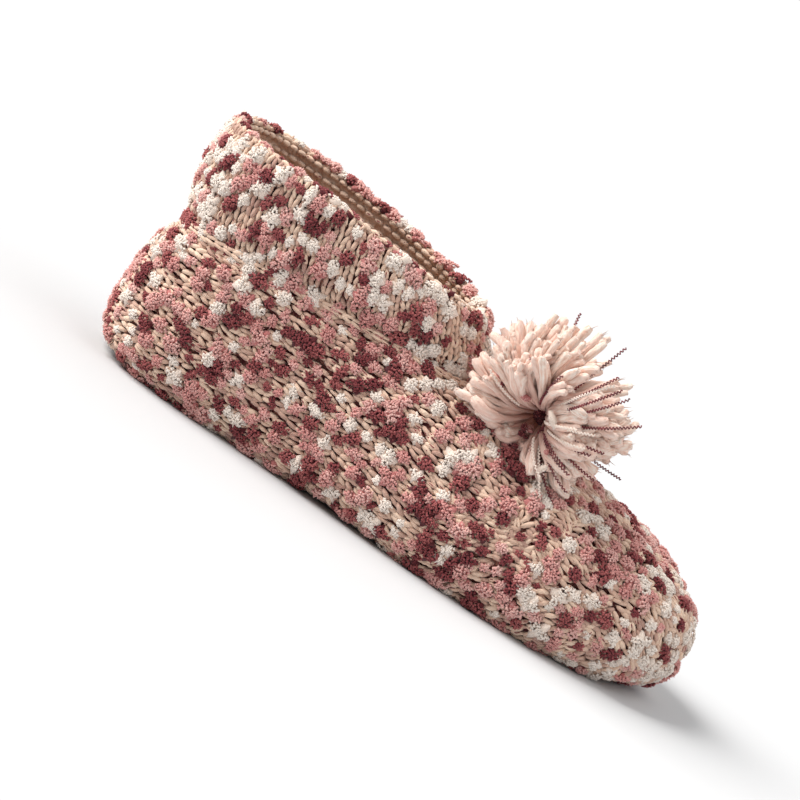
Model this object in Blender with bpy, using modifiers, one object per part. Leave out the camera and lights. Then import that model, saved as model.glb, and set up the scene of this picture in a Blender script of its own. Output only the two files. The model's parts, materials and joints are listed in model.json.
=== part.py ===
"""A knitted house sock: one knitted foot, a knitted-on cuff and a yarn pompom.

The sock stands empty on its sole. +X runs from heel to toe, +Z is up, and the
origin is on the floor under the middle of its length. Sizes are in millimetres
until a point is placed in the scene, which is in metres.
"""

import math
from collections import namedtuple

import bmesh
import bpy
import numpy as np
from mathutils import Matrix, Vector

# Driving dimensions, in millimetres
MM = 0.001
SOCK_LENGTH = 245.0
HEEL_WIDTH = 69.0
BALL_WIDTH = 90.0
INSTEP_HEIGHT = 63.0
HEEL_SEAM_HEIGHT = 57.0
CUFF_BACK_HEIGHT = 97.0
CUFF_FRONT_HEIGHT = 84.5
FOOT_WALL = 3.2
CUFF_WALL = 3.8
PIECE_GAP = 0.3

# Sole shape
ARCH_RISE = 2.5
ARCH_MIDDLE = 112.0
ARCH_REACH = 34.0
TOE_SPRING = 2.0
TOE_SPRING_START = 205.0
SOLE_SHAPING_HEIGHT = 24.0
HEEL_ROUNDING = 2.5
TOE_ROUNDING = 2.3

# Cuff shape
CUFF_SWELL = 1.3
SIDE_RISE = 2.0
RIM_ROUNDING = 1.5
SHARP_EDGE_ANGLE = 50.0

# Pompom, placed from the heel's back, the middle plane and the floor
POMPOM_CENTRE = (157.0, -20.0, 69.0)
POMPOM_RADIUS = 31.0
POMPOM_CORE_RADIUS = 15.0
CORE_FINENESS = 2
LOCK_COUNT = 96
LOCK_SIDES = 6
LOCK_ROOT_RADIUS = 2.6
LOCK_TIP_RADIUS = 4.2
LOCK_TIP_DOME = 2.4
LOCK_LENGTH_SPREAD = 1.6
LOCK_SPREAD_TURN = 2.4
PARTING_AXIS = (0.0, -1.0, 0.0)
PARTING_ANGLE = 24.0
PARTING_DEPTH = 11.0

# Mesh fineness
RING_COLUMNS = 56
SPINE_INSET = 20.0
MERGE_DISTANCE = 0.01
SMALL_STEP = 0.05

# One row for each ring round the sock, from the sole's middle up to the rim:
# where the ring crosses the middle plane at heel and toe, its half width at
# heel and ball, how far along its length heel and ball are, from 0 to 1, and
# how many steps lead up to it.
Level = namedtuple(
    "Level",
    "name back_x back_z front_x front_z heel_half ball_half heel_at ball_at steps",
)
HEEL_HALF = HEEL_WIDTH / 2
BALL_HALF = BALL_WIDTH / 2
LEVELS = (
    Level("sole middle", 27, 0, 214, 0, 20, 31, 0.22, 0.68, 0),
    Level("tread", 17, 0, 228, 0, 26, 37.5, 0.21, 0.68, 1),
    Level("sole edge", 6, 4, 240, 4.5, HEEL_HALF - 4, BALL_HALF - 3, 0.20, 0.68, 2),
    Level("side", 1.2, 12, 244, 11, HEEL_HALF - 1, BALL_HALF - 0.4, 0.20, 0.68, 2),
    Level("widest", 0, 23, 244.7, 19, HEEL_HALF, BALL_HALF, 0.20, 0.68, 2),
    Level("toe top", 1.2, 34, 239, 34.5, HEEL_HALF + 0.5, BALL_HALF - 3.5, 0.20, 0.66, 2),
    Level("low vamp", 3, 44, 214, 47, HEEL_HALF + 1, BALL_HALF - 8.5, 0.24, 0.62, 3),
    Level("high vamp", 5, 51, 176, 55.5, HEEL_HALF + 1, BALL_HALF - 12.5, 0.30, 0.56, 3),
    Level("seam", 7, HEEL_SEAM_HEIGHT, 136, INSTEP_HEIGHT, HEEL_HALF, 32, 0.36, 0.52, 3),
    Level("low cuff", 5.5, 70, 128.5, 70, HEEL_HALF - 0.5, 32, 0.38, 0.52, 2),
    Level("high cuff", 4.5, 83.5, 123, 77, HEEL_HALF - 1.5, 32, 0.38, 0.52, 2),
    Level("rim", 5, CUFF_BACK_HEIGHT, 119, CUFF_FRONT_HEIGHT, HEEL_HALF - 2, 31.5, 0.38, 0.52, 2),
)
LEVEL_NAMES = [level.name for level in LEVELS]
SEAM_LEVEL = float(LEVEL_NAMES.index("seam"))
RIM_LEVEL = float(LEVEL_NAMES.index("rim"))
LEVEL_NUMBERS = np.array([level[1:9] for level in LEVELS], float)

# Colours of the yarns
KNIT_COLOUR = (0.55, 0.33, 0.27, 1)
CUFF_COLOUR = (0.58, 0.38, 0.32, 1)
POMPOM_COLOUR = (0.78, 0.56, 0.46, 1)
YARN_ROUGHNESS = 0.95


def smooth_step(value):
    """Eases from 0 to 1 as value goes from 0 to 1."""
    value = np.clip(value, 0, 1)
    return value * value * (3 - 2 * value)


def level_row(position):
    """The ring's eight numbers at a position between rows of LEVELS, on a smooth curve through them."""
    last = len(LEVELS) - 1
    row = min(int(position), last - 1)
    part = position - row
    before, start = LEVEL_NUMBERS[max(row - 1, 0)], LEVEL_NUMBERS[row]
    end, after = LEVEL_NUMBERS[row + 1], LEVEL_NUMBERS[min(row + 2, last)]
    leave, arrive = (end - before) / 2, (after - start) / 2
    return (
        start * (2 * part**3 - 3 * part**2 + 1)
        + leave * (part**3 - 2 * part**2 + part)
        + end * (3 * part**2 - 2 * part**3)
        + arrive * (part**3 - part**2)
    )


def sole_shaping(x, z):
    """How far the arch and the toe spring lift a point, fading out up the sides."""
    arch = np.cos(np.clip((x - ARCH_MIDDLE) / ARCH_REACH, -1, 1) * math.pi / 2) ** 2
    spring = smooth_step((x - TOE_SPRING_START) / (SOCK_LENGTH - TOE_SPRING_START))
    fade = np.clip(1 - z / SOLE_SHAPING_HEIGHT, 0, 1)
    return fade * (ARCH_RISE * arch + TOE_SPRING * spring)


def ring_points(position, columns=RING_COLUMNS):
    """One ring of the sock's outer form, counted from the toe round by +Y, in millimetres from the heel."""
    back_x, back_z, front_x, front_z, heel_half, ball_half, heel_at, ball_at = level_row(position)
    angle = np.arange(columns) * 2 * math.pi / columns
    along, sine = (1 + np.cos(angle)) / 2, np.sin(angle)
    behind_heel = np.clip((heel_at - along) / heel_at, 0, 1)
    before_ball = np.clip((along - ball_at) / (1 - ball_at), 0, 1)
    half = heel_half + (ball_half - heel_half) * smooth_step((along - heel_at) / (ball_at - heel_at))
    half = half * (1 - behind_heel**HEEL_ROUNDING) ** (1 / HEEL_ROUNDING)
    half = half * (1 - before_ball**TOE_ROUNDING) ** (1 / TOE_ROUNDING)
    x = back_x + (front_x - back_x) * along
    y = np.sign(sine) * half
    z = back_z + (front_z - back_z) * along + SIDE_RISE * sine**2 * smooth_step(position / SEAM_LEVEL)
    z = z + sole_shaping(x, z)
    return np.stack([x, y, z], axis=1)


def level_steps(first, last):
    """Ring positions from one level to another, with the steps that each row asks for."""
    positions = [float(first)]
    for row in range(int(first) + 1, int(last) + 1):
        steps = LEVELS[row].steps
        positions += [row - 1 + (step + 1) / steps for step in range(steps)]
    return positions


def sole_rings():
    """Two rings inside the sole's middle, the inner one closed up along a line from heel to ball."""
    edge = ring_points(0.0)
    low, high = edge[:, 0].min() + SPINE_INSET, edge[:, 0].max() - SPINE_INSET
    spine = edge.copy()
    spine[:, 0] = np.clip(edge[:, 0], low, high)
    spine[:, 1] = 0
    spine[:, 2] = sole_shaping(spine[:, 0], np.zeros(len(spine)))
    between = (edge + spine) / 2
    between[:, 2] = sole_shaping(between[:, 0], np.zeros(len(between)))
    return [spine, between]


def to_scene(points):
    """Millimetres from the heel to metres about the middle of the length."""
    return (np.asarray(points, float) - (SOCK_LENGTH / 2, 0, 0)) * MM


def mesh_from_rings(name, rings, cap_last=False):
    """A surface through rings of points, each joined to the next."""
    columns = len(rings[0])
    shape = bmesh.new()
    rows = [[shape.verts.new(point) for point in to_scene(ring)] for ring in rings]
    for lower, upper in zip(rows, rows[1:]):
        for column in range(columns):
            beside = (column + 1) % columns
            shape.faces.new((lower[column], lower[beside], upper[beside], upper[column]))
    if cap_last:
        shape.faces.new(rows[-1])
    bmesh.ops.remove_doubles(shape, verts=shape.verts[:], dist=MERGE_DISTANCE * MM)
    bmesh.ops.dissolve_degenerate(shape, edges=shape.edges[:], dist=MERGE_DISTANCE * MM)
    mesh = bpy.data.meshes.new(name)
    shape.to_mesh(mesh)
    shape.free()
    mesh.shade_smooth()
    return mesh


def swell(rings, amounts):
    """Moves each ring outwards across the wall by its amount, along the form's own normals."""
    stack = np.stack(rings)
    round_way = np.roll(stack, -1, axis=1) - np.roll(stack, 1, axis=1)
    up_way = np.gradient(stack, axis=0)
    normal = np.cross(round_way, up_way)
    normal /= np.maximum(np.linalg.norm(normal, axis=2, keepdims=True), MERGE_DISTANCE**2)
    return list(stack + normal * np.asarray(amounts, float)[:, None, None])


def make_material(name, colour):
    material = bpy.data.materials.new(name)
    material.use_nodes = True
    surface = material.node_tree.nodes["Principled BSDF"]
    surface.inputs["Base Color"].default_value = colour
    surface.inputs["Roughness"].default_value = YARN_ROUGHNESS
    surface.inputs["Metallic"].default_value = 0
    return material


def add_object(name, mesh, collection, material=None):
    made = bpy.data.objects.new(name, mesh)
    if material:
        mesh.materials.append(material)
    collection.objects.link(made)
    return made


def add_wall(made, thickness):
    """Gives an outer surface its wall, inwards."""
    wall = made.modifiers.new("knit wall", "SOLIDIFY")
    wall.thickness = thickness * MM
    wall.offset = -1
    wall.use_even_offset = True
    wall.use_quality_normals = True


def seam_positions():
    """Where foot and cuff stop on each side of their seam, half a gap away from it."""
    lower, upper = ring_points(SEAM_LEVEL - SMALL_STEP), ring_points(SEAM_LEVEL + SMALL_STEP)
    spacing = np.linalg.norm(upper - lower, axis=1).min() / (2 * SMALL_STEP)
    half_gap = PIECE_GAP / 2 / spacing
    return SEAM_LEVEL - half_gap, SEAM_LEVEL + half_gap


def foot_rings():
    foot_end, _ = seam_positions()
    return sole_rings() + [ring_points(p) for p in level_steps(0, SEAM_LEVEL)[:-1] + [foot_end]]


def cuff_rings():
    """The cuff's rings, swollen between seam and rim as a soft band is."""
    _, cuff_start = seam_positions()
    positions = [cuff_start] + level_steps(SEAM_LEVEL, RIM_LEVEL)[1:]
    share = np.linspace(0, 1, len(positions))
    return swell([ring_points(p) for p in positions], CUFF_SWELL * np.sin(math.pi * share))


def make_foot(collection):
    """Upper and sole, knitted whole: one wall, open at the top where the cuff is knitted on."""
    mesh = mesh_from_rings("knitted_foot", foot_rings())
    made = add_object("knitted_foot", mesh, collection, make_material("foot yarn", KNIT_COLOUR))
    add_wall(made, FOOT_WALL)
    return made


def make_cuff(collection):
    """The band round the opening, with a rounded rim."""
    mesh = mesh_from_rings("knitted_cuff", cuff_rings())
    made = add_object("knitted_cuff", mesh, collection, make_material("cuff yarn", CUFF_COLOUR))
    add_wall(made, CUFF_WALL)
    rounding = made.modifiers.new("rounded edges", "BEVEL")
    rounding.width = RIM_ROUNDING * MM
    rounding.segments = 2
    rounding.limit_method = "ANGLE"
    rounding.angle_limit = math.radians(SHARP_EDGE_ANGLE)
    return made


def make_sock_form(collection):
    """The whole outer form, one gap larger and filled, which the pompom's underside is cut to."""
    rings = foot_rings() + cuff_rings()
    grown = sole_rings()[:1] + swell(rings, [PIECE_GAP] * len(rings))[1:]
    form = add_object("sock_form", mesh_from_rings("sock_form", grown, cap_last=True), collection)
    form.hide_render = True
    form.display_type = "WIRE"
    return form


def lock_directions():
    """Even directions over a ball, on a spiral from pole to pole."""
    turn = math.pi * (3 - math.sqrt(5))
    for number in range(LOCK_COUNT):
        height = 1 - 2 * (number + 0.5) / LOCK_COUNT
        reach = math.sqrt(1 - height * height)
        yield Vector((reach * math.cos(turn * number), reach * math.sin(turn * number), height))


def lock_length(direction, number):
    """How far a lock reaches from the pompom's middle: shorter at the parting that shows its heart."""
    from_parting = math.degrees(direction.angle(Vector(PARTING_AXIS)))
    dip = PARTING_DEPTH * math.exp(-((from_parting / PARTING_ANGLE) ** 2))
    spread = LOCK_LENGTH_SPREAD * math.sin(number * LOCK_SPREAD_TURN)
    return POMPOM_RADIUS - LOCK_LENGTH_SPREAD + spread - dip


def make_lock(direction, length, collection):
    """One bundle of cut yarn: a cone that widens outwards, with a low domed end."""
    shape = bmesh.new()
    root, neck = POMPOM_CORE_RADIUS - LOCK_ROOT_RADIUS, length - LOCK_TIP_DOME
    for low, high, low_radius, high_radius in (
        (root, neck, LOCK_ROOT_RADIUS, LOCK_TIP_RADIUS),
        (neck, length, LOCK_TIP_RADIUS, LOCK_TIP_RADIUS / 2),
    ):
        bmesh.ops.create_cone(
            shape,
            cap_ends=True,
            segments=LOCK_SIDES,
            radius1=low_radius * MM,
            radius2=high_radius * MM,
            depth=(high - low) * MM,
            matrix=Matrix.Translation((0, 0, (low + high) / 2 * MM)),
        )
    inner_caps = [
        face
        for face in shape.faces
        if abs(face.calc_center_median().z - neck * MM) < MERGE_DISTANCE * MM
    ]
    bmesh.ops.delete(shape, geom=inner_caps, context="FACES_ONLY")
    bmesh.ops.remove_doubles(shape, verts=shape.verts[:], dist=MERGE_DISTANCE * MM)
    mesh = bpy.data.meshes.new("lock")
    shape.to_mesh(mesh)
    shape.free()
    mesh.transform(direction.to_track_quat("Z", "Y").to_matrix().to_4x4())
    return add_object("lock", mesh, collection)


def make_pompom(collection, cutters, form):
    """A round core with bundles of cut yarn fused on, seated on the sock's form."""
    bundles = bpy.data.collections.new("pompom bundles")
    bpy.context.scene.collection.children.link(bundles)
    for number, direction in enumerate(lock_directions()):
        make_lock(direction, lock_length(direction, number), bundles)
    core = bmesh.new()
    bmesh.ops.create_icosphere(core, subdivisions=CORE_FINENESS, radius=POMPOM_CORE_RADIUS * MM)
    mesh = bpy.data.meshes.new("pompom_core")
    core.to_mesh(mesh)
    core.free()
    ball = add_object("pompom_core", mesh, cutters)
    fuse = ball.modifiers.new("bundles", "BOOLEAN")
    fuse.operation = "UNION"
    fuse.operand_type = "COLLECTION"
    fuse.collection = bundles
    fused = bpy.data.meshes.new_from_object(ball.evaluated_get(bpy.context.evaluated_depsgraph_get()))
    fused.name = "yarn_pompom"
    for lock in list(bundles.objects) + [ball]:
        bpy.data.objects.remove(lock)
    bpy.data.collections.remove(bundles)
    made = add_object("yarn_pompom", fused, collection, make_material("pompom yarn", POMPOM_COLOUR))
    made.location = to_scene(POMPOM_CENTRE)
    seat = made.modifiers.new("seat", "BOOLEAN")
    seat.operation = "DIFFERENCE"
    seat.object = form
    return made


def main():
    for old in list(bpy.data.objects):
        bpy.data.objects.remove(old)
    pieces = bpy.data.collections.new("house sock")
    cutters = bpy.data.collections.new("house sock cutters")
    bpy.context.scene.collection.children.link(pieces)
    bpy.context.scene.collection.children.link(cutters)
    make_foot(pieces)
    make_cuff(pieces)
    make_pompom(pieces, cutters, make_sock_form(cutters))


main()
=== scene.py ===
import json
import math

import bpy
import numpy as np
from mathutils import Matrix, Vector

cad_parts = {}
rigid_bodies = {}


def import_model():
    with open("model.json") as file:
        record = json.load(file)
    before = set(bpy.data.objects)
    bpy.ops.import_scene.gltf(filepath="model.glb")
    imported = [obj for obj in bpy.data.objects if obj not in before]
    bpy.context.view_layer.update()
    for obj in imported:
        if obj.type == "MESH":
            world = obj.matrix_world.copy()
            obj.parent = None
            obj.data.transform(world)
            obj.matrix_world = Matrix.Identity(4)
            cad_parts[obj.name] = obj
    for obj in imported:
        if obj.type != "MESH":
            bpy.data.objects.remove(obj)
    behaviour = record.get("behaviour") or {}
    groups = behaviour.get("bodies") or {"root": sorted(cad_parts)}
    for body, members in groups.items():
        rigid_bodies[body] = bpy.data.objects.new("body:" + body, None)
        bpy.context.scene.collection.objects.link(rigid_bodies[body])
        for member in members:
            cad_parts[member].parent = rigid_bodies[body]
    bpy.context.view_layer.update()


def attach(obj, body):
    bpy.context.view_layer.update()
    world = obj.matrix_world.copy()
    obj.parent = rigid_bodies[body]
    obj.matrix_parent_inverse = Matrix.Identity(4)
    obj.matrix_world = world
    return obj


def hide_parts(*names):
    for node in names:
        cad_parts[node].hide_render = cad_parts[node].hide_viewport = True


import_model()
scene = bpy.context.scene
print("frame loaded")

mm = 0.001  # the sock's own sizes below are in millimetres
floorGap = 0.1 * mm  # nothing comes closer to the floor


# The sock's outer form: the rings of the solids, from the sole's middle up to the rim
sockForm = dict(
    length=245.0, heelHalf=34.5, ballHalf=45.0,
    archRise=2.5, archMiddle=112.0, archReach=34.0,
    toeSpring=2.0, toeSpringStart=205.0, shapingHeight=24.0,
    heelRounding=2.5, toeRounding=2.3, sideRise=2.0, cuffSwell=1.3,
)
heelHalf, ballHalf = sockForm["heelHalf"], sockForm["ballHalf"]
ringRows = np.array([  # backX backZ frontX frontZ heelHalf ballHalf heelAt ballAt
    (27, 0, 214, 0, 20, 31, 0.22, 0.68),  # sole middle
    (17, 0, 228, 0, 26, 37.5, 0.21, 0.68),  # tread
    (6, 4, 240, 4.5, heelHalf - 4, ballHalf - 3, 0.20, 0.68),  # sole edge
    (1.2, 12, 244, 11, heelHalf - 1, ballHalf - 0.4, 0.20, 0.68),  # side
    (0, 23, 244.7, 19, heelHalf, ballHalf, 0.20, 0.68),  # widest
    (1.2, 34, 239, 34.5, heelHalf + 0.5, ballHalf - 3.5, 0.20, 0.66),  # toe top
    (3, 44, 214, 47, heelHalf + 1, ballHalf - 8.5, 0.24, 0.62),  # low vamp
    (5, 51, 176, 55.5, heelHalf + 1, ballHalf - 12.5, 0.30, 0.56),  # high vamp
    (7, 57, 136, 63, heelHalf, 32, 0.36, 0.52),  # seam
    (5.5, 70, 128.5, 70, heelHalf - 0.5, 32, 0.38, 0.52),  # low cuff
    (4.5, 83.5, 123, 77, heelHalf - 1.5, 32, 0.38, 0.52),  # high cuff
    (5, 97, 119, 84.5, heelHalf - 2, 31.5, 0.38, 0.52),  # rim
])
seamLevel, rimLevel = 8.0, 11.0


def smoothStep(value):
    value = np.clip(value, 0, 1)
    return value * value * (3 - 2 * value)


def ringNumbers(level):  # the rows' numbers at any level, on a smooth curve through them
    level = np.clip(np.asarray(level, float), 0, rimLevel)
    row = np.minimum(level.astype(int), len(ringRows) - 2)
    part = (level - row)[..., None]
    before, start = ringRows[np.maximum(row - 1, 0)], ringRows[row]
    end, after = ringRows[row + 1], ringRows[np.minimum(row + 2, len(ringRows) - 1)]
    return (
        start * (2 * part**3 - 3 * part**2 + 1)
        + (end - before) / 2 * (part**3 - 2 * part**2 + part)
        + end * (3 * part**2 - 2 * part**3)
        + (after - start) / 2 * (part**3 - part**2)
    )


def soleLift(x, z):  # arch and toe spring
    arch = np.cos(np.clip((x - sockForm["archMiddle"]) / sockForm["archReach"], -1, 1) * math.pi / 2) ** 2
    springStart = sockForm["toeSpringStart"]
    spring = smoothStep((x - springStart) / (sockForm["length"] - springStart))
    fade = np.clip(1 - z / sockForm["shapingHeight"], 0, 1)
    return fade * (sockForm["archRise"] * arch + sockForm["toeSpring"] * spring)


def formPoint(level, angle):  # angle 0 at the toe, pi at the heel, negative on the near side
    level, angle = np.broadcast_arrays(np.asarray(level, float), np.asarray(angle, float))
    backX, backZ, frontX, frontZ, heel, ball, heelAt, ballAt = np.moveaxis(ringNumbers(level), -1, 0)
    along, sine = (1 + np.cos(angle)) / 2, np.sin(angle)
    behindHeel = np.clip((heelAt - along) / heelAt, 0, 1)
    beforeBall = np.clip((along - ballAt) / (1 - ballAt), 0, 1)
    half = heel + (ball - heel) * smoothStep((along - heelAt) / (ballAt - heelAt))
    half = half * (1 - behindHeel ** sockForm["heelRounding"]) ** (1 / sockForm["heelRounding"])
    half = half * (1 - beforeBall ** sockForm["toeRounding"]) ** (1 / sockForm["toeRounding"])
    x = backX + (frontX - backX) * along
    y = np.sign(sine) * half
    z = backZ + (frontZ - backZ) * along + sockForm["sideRise"] * sine**2 * smoothStep(level / seamLevel)
    return np.stack([x, y, z + soleLift(x, z)], axis=-1)


def unit(vectors):
    return vectors / np.maximum(np.linalg.norm(vectors, axis=-1, keepdims=True), 1e-9)


def lengthTo(places):  # how far along a path each of its places is
    return np.concatenate([[0], np.cumsum(np.linalg.norm(np.diff(places, axis=0), axis=1))])


def surface(level, angle, lift=0.0):  # a place on the sock and the way out of it
    level, angle = np.broadcast_arrays(np.asarray(level, float), np.asarray(angle, float))
    step = 0.004
    roundWay = formPoint(level, angle + step) - formPoint(level, angle - step)
    upWay = formPoint(level + step, angle) - formPoint(level - step, angle)
    outward = unit(np.cross(roundWay, upWay))
    upCuff = np.clip((level - seamLevel) / (rimLevel - seamLevel), 0, 1)
    swell = sockForm["cuffSwell"] * np.sin(math.pi * upCuff)
    return formPoint(level, angle) + outward * (swell + lift)[..., None], outward


def angleAt(level, x):  # where a ring passes a distance from the heel
    numbers = ringNumbers(level)
    along = np.clip((x - numbers[..., 0]) / (numbers[..., 2] - numbers[..., 0]), 0, 1)
    return np.arccos(np.clip(2 * along - 1, -1, 1))


creases = dict(  # soft troughs and swells in the knit, in millimetres, where a step is one level's height
    mitreDepth=1.4, mitreWidth=2.6, mitreStep=11.0, mitreLevels=(4.75, 3.05),
    mitreStart=160.0, mitreFull=182.0, mitreEnd=232.0,
    seamDepth=0.9, seamWidth=3.2, seamStep=7.0, sway=0.55,
    folds=(  # x, z and slope of a fold's middle on the side, its width and its depth
        (188.0, 26.0, -0.9, 5.0, 0.9),
        (171.0, 16.0, -0.8, 6.0, 0.7),
        (24.0, 44.0, 0.5, 6.0, 1.0),
    ),
    foldReach=22.0,
)


def mitreAt(x):  # the level where the wales of the sole and the upper meet, falling to the tip
    start, end = creases["mitreStart"], creases["mitreEnd"]
    high, low = creases["mitreLevels"]
    return high + (low - high) * smoothStep((x - start) / (end - start))


def relief(place, level):  # how far the knit rises or sinks at a place
    x, y, z = np.moveaxis(place, -1, 0)
    c = creases
    height = c["sway"] * (np.sin(0.105 * x + 0.16 * y + 1.0) + np.sin(0.17 * z - 0.06 * x + 0.5)) / 2
    ramp = smoothStep((x - c["mitreStart"]) / (c["mitreFull"] - c["mitreStart"]))
    fromMitre = (level - mitreAt(x)) * c["mitreStep"] / c["mitreWidth"]
    fromSeam = (level - seamLevel) * c["seamStep"] / c["seamWidth"]
    height = height - ramp * c["mitreDepth"] * np.exp(-(fromMitre**2))
    height = height - c["seamDepth"] * np.exp(-(fromSeam**2))
    for foldX, foldZ, slope, width, depth in c["folds"]:
        across = ((x - foldX) - slope * (z - foldZ)) / math.hypot(1, slope)
        down = ((z - foldZ) + slope * (x - foldX)) / math.hypot(1, slope)
        height = height - depth * np.exp(-((across / width) ** 2) - ((down / c["foldReach"]) ** 2))
    return height


def toFrame(points):  # millimetres from the heel to metres in the shared frame
    return (np.asarray(points, float) - (sockForm["length"] / 2, 0, 0)) * mm


# Mesh helpers
def meshObject(name, points, faces, attributes=(), edges=()):
    mesh = bpy.data.meshes.new(name)
    mesh.from_pydata(np.asarray(points, float).tolist(), list(edges), [list(face) for face in faces])
    for label, kind, values in attributes:
        layer = mesh.attributes.new(label, kind, "POINT")
        layer.data.foreach_set("vector" if kind == "FLOAT_VECTOR" else "value", np.ravel(values))
    made = bpy.data.objects.new(name, mesh)
    scene.collection.objects.link(made)
    return made


def bandFaces(rows, columns, closed=False):  # between rings of points, the last joined to the first if closed
    faces = []
    for row in range(rows if closed else rows - 1):
        low, high = row * columns, (row + 1) % rows * columns
        for column in range(columns):
            beside = (column + 1) % columns
            faces.append((low + column, low + beside, high + beside, high + column))
    return faces


def sweepTube(path, wide, thick, sides):  # a tapered tube along a path, closed by a point at each end
    path, wide, thick = np.asarray(path, float), np.asarray(wide, float), np.asarray(thick, float)
    forward = unit(np.gradient(path, axis=0))
    sideways = unit(np.cross(forward, np.array((0.0, 0.0, 1.0)) + forward[:, [2, 0, 1]] * 0.05))
    upward = np.cross(sideways, forward)
    turn = np.arange(sides) * 2 * math.pi / sides
    rings = path[1:-1, None] + (
        sideways[1:-1, None] * (wide[1:-1, None] * np.cos(turn))[..., None]
        + upward[1:-1, None] * (thick[1:-1, None] * np.sin(turn))[..., None]
    )
    count = len(path) - 2
    points = np.concatenate([rings.reshape(-1, 3), path[:1], path[-1:]])
    first, last = count * sides, count * sides + 1
    faces = bandFaces(count, sides)
    for side in range(sides):
        beside = (side + 1) % sides
        faces.append((beside, side, first))
        faces.append(((count - 1) * sides + side, (count - 1) * sides + beside, last))
    share = np.linspace(0, 1, len(path))
    ply = np.zeros((len(points), 3))
    ply[: count * sides, 0] = np.tile(np.cos(turn), count)
    ply[: count * sides, 1] = np.tile(np.sin(turn), count)
    ply[: count * sides, 2] = np.repeat(share[1:-1], sides)
    ply[last, 2] = 1
    return points, faces, ply


def joinParts(parts):  # several (points, faces, ply) as one
    points, faces, ply, start = [], [], [], 0
    for somePoints, someFaces, somePly in parts:
        points.append(somePoints)
        ply.append(somePly)
        faces += [tuple(index + start for index in face) for face in someFaces]
        start += len(somePoints)
    return np.concatenate(points), faces, np.concatenate(ply)


def mirrorPart(part):  # the same tube on the other side of the stitch
    points, faces, ply = part
    return points * (-1, 1, 1), [tuple(reversed(face)) for face in faces], ply


# Node trees that make pieces from paths and from points
def newTree(name, inputs):  # geometry in and out, and inputs given by name and kind
    tree = bpy.data.node_groups.new(name, "GeometryNodeTree")
    face = tree.interface
    face.new_socket("Geometry", in_out="INPUT", socket_type="NodeSocketGeometry")
    sockets = {}
    for label, kind in inputs:
        sockets[label] = face.new_socket(label, in_out="INPUT", socket_type=f"NodeSocket{kind}").identifier
    face.new_socket("Geometry", in_out="OUTPUT", socket_type="NodeSocketGeometry")
    return tree, sockets


def named(tree, label, kind):  # a value that each point carries
    node = tree.nodes.new("GeometryNodeInputNamedAttribute")
    node.data_type = kind
    node.inputs["Name"].default_value = label
    return node.outputs["Attribute"]


def closeTree(tree, start, geometry):  # real geometry with the finish that was put in
    nodes, link = tree.nodes, tree.links.new
    real = nodes.new("GeometryNodeRealizeInstances")
    link(geometry, real.inputs["Geometry"])
    paint = nodes.new("GeometryNodeSetMaterial")
    link(real.outputs["Geometry"], paint.inputs["Geometry"])
    link(start.outputs["Finish"], paint.inputs["Material"])
    link(paint.outputs["Geometry"], nodes.new("NodeGroupOutput").inputs["Geometry"])


def strandTree():  # gives paths their thickness: strands, threads and hairs
    tree, sockets = newTree("thicken strands", (("Sides", "Int"), ("Finish", "Material")))
    nodes, link = tree.nodes, tree.links.new
    start = nodes.new("NodeGroupInput")
    curve = nodes.new("GeometryNodeMeshToCurve")
    link(start.outputs["Geometry"], curve.inputs["Mesh"])
    circle = nodes.new("GeometryNodeCurvePrimitiveCircle")
    circle.inputs["Radius"].default_value = 1.0
    link(start.outputs["Sides"], circle.inputs["Resolution"])
    around = nodes.new("GeometryNodeStoreNamedAttribute")
    around.data_type, around.domain = "FLOAT_VECTOR", "POINT"
    around.inputs["Name"].default_value = "around"
    link(circle.outputs["Curve"], around.inputs["Geometry"])
    link(nodes.new("GeometryNodeInputPosition").outputs["Position"], around.inputs["Value"])
    tube = nodes.new("GeometryNodeCurveToMesh")
    tube.inputs["Fill Caps"].default_value = True
    link(curve.outputs["Curve"], tube.inputs["Curve"])
    link(around.outputs["Geometry"], tube.inputs["Profile Curve"])
    link(named(tree, "thickness", "FLOAT"), tube.inputs["Scale"])
    closeTree(tree, start, tube.outputs["Mesh"])
    return tree, sockets


def scatterTree():  # sets shapes on points, each with its ways along and out, its size and its shape's number
    inputs = (("Shapes", "Collection"), ("Size", "Float"), ("Finish", "Material"))
    tree, sockets = newTree("set shapes on knit", inputs)
    nodes, link = tree.nodes, tree.links.new
    start = nodes.new("NodeGroupInput")
    turn = nodes.new("FunctionNodeAxesToRotation")
    turn.primary_axis, turn.secondary_axis = "Z", "Y"
    link(named(tree, "outward", "FLOAT_VECTOR"), turn.inputs["Primary Axis"])
    link(named(tree, "alongWay", "FLOAT_VECTOR"), turn.inputs["Secondary Axis"])
    shapes = nodes.new("GeometryNodeCollectionInfo")
    shapes.inputs["Separate Children"].default_value = True
    shapes.inputs["Reset Children"].default_value = True
    link(start.outputs["Shapes"], shapes.inputs["Collection"])
    grow = nodes.new("ShaderNodeVectorMath")
    grow.operation = "SCALE"
    link(named(tree, "shapeSize", "FLOAT_VECTOR"), grow.inputs[0])
    link(start.outputs["Size"], grow.inputs["Scale"])
    place = nodes.new("GeometryNodeInstanceOnPoints")
    place.inputs["Pick Instance"].default_value = True
    link(start.outputs["Geometry"], place.inputs["Points"])
    link(shapes.outputs["Instances"], place.inputs["Instance"])
    link(named(tree, "shapeNumber", "INT"), place.inputs["Instance Index"])
    link(turn.outputs["Rotation"], place.inputs["Rotation"])
    link(grow.outputs["Vector"], place.inputs["Scale"])
    closeTree(tree, start, place.outputs["Instances"])
    return tree, sockets


thicken, scatter = strandTree(), scatterTree()


def runTree(made, treeAndSockets, settings):  # the tree's result as a plain mesh
    tree, sockets = treeAndSockets
    modifier = made.modifiers.new(tree.name, "NODES")
    modifier.node_group = tree
    for label, value in settings.items():
        modifier[sockets[label]] = value
    return bakePiece(made, settings["Finish"])


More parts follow.
